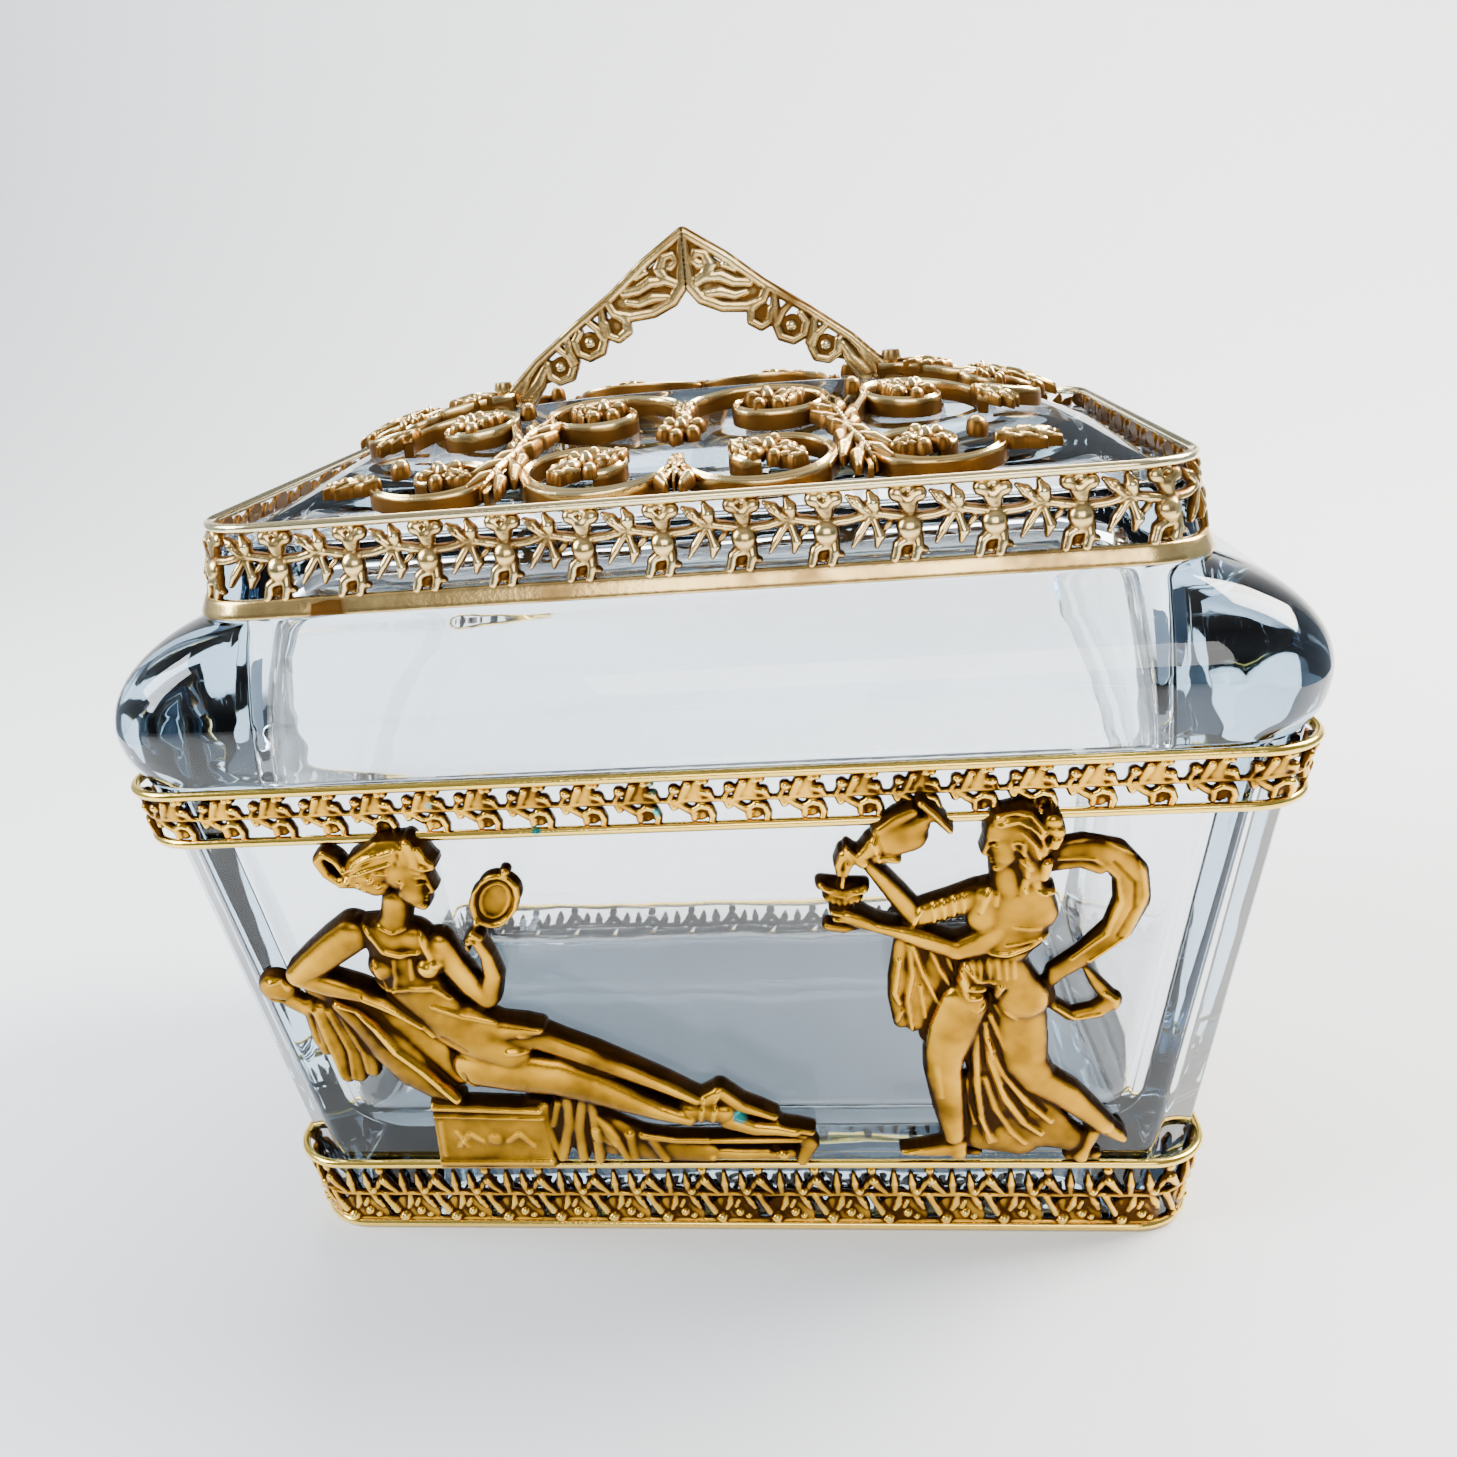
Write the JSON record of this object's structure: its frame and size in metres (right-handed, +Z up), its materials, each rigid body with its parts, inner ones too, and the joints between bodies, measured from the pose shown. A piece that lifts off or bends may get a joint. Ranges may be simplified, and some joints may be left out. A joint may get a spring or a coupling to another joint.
{
  "type": "glass casket box",
  "caption": "Thick clear glass casket with leaning walls, pierced gilt bands, relief figure mounts on the front and a domed lift-off lid with a scrolled gilt mount and peaked handle.",
  "frame": {"origin": "centre of the foot, on the surface the box stands on", "axes": "+Z up, +X along the length to the right as seen from the figure front, front faces -Y"},
  "size_m": [0.167, 0.112, 0.1523],
  "materials": {
    "crystal": "polished",
    "gilt_bands": "satin",
    "pale_gilt": "satin",
    "gilt_figures": "matte"
  },
  "bodies": {
    "casket": {"glass_body": "crystal", "base_bottom_wire": "gilt_bands", "base_garland": "gilt_bands", "base_top_wire": "gilt_bands", "rim_bottom_wire": "gilt_bands", "rim_garland": "gilt_bands", "rim_top_wire": "gilt_bands", "reclining_figure": "gilt_figures", "attendant_figure": "gilt_figures"},
    "lid": {"lid_glass": "crystal", "gallery_strip": "pale_gilt", "gallery_garland": "pale_gilt", "gallery_wire": "pale_gilt", "scrolls_front": "pale_gilt", "scrolls_back": "pale_gilt", "scroll_wing_left": "pale_gilt", "scroll_wing_right": "pale_gilt", "rosettes": "pale_gilt", "handle_left": "pale_gilt", "handle_right": "pale_gilt"}
  },
  "joints": [
    {"name": "lid_lift", "type": "slide", "parent": "casket", "child": "lid", "axis": [0, 0, 1], "range_m": [0, 0.06]}
  ]
}
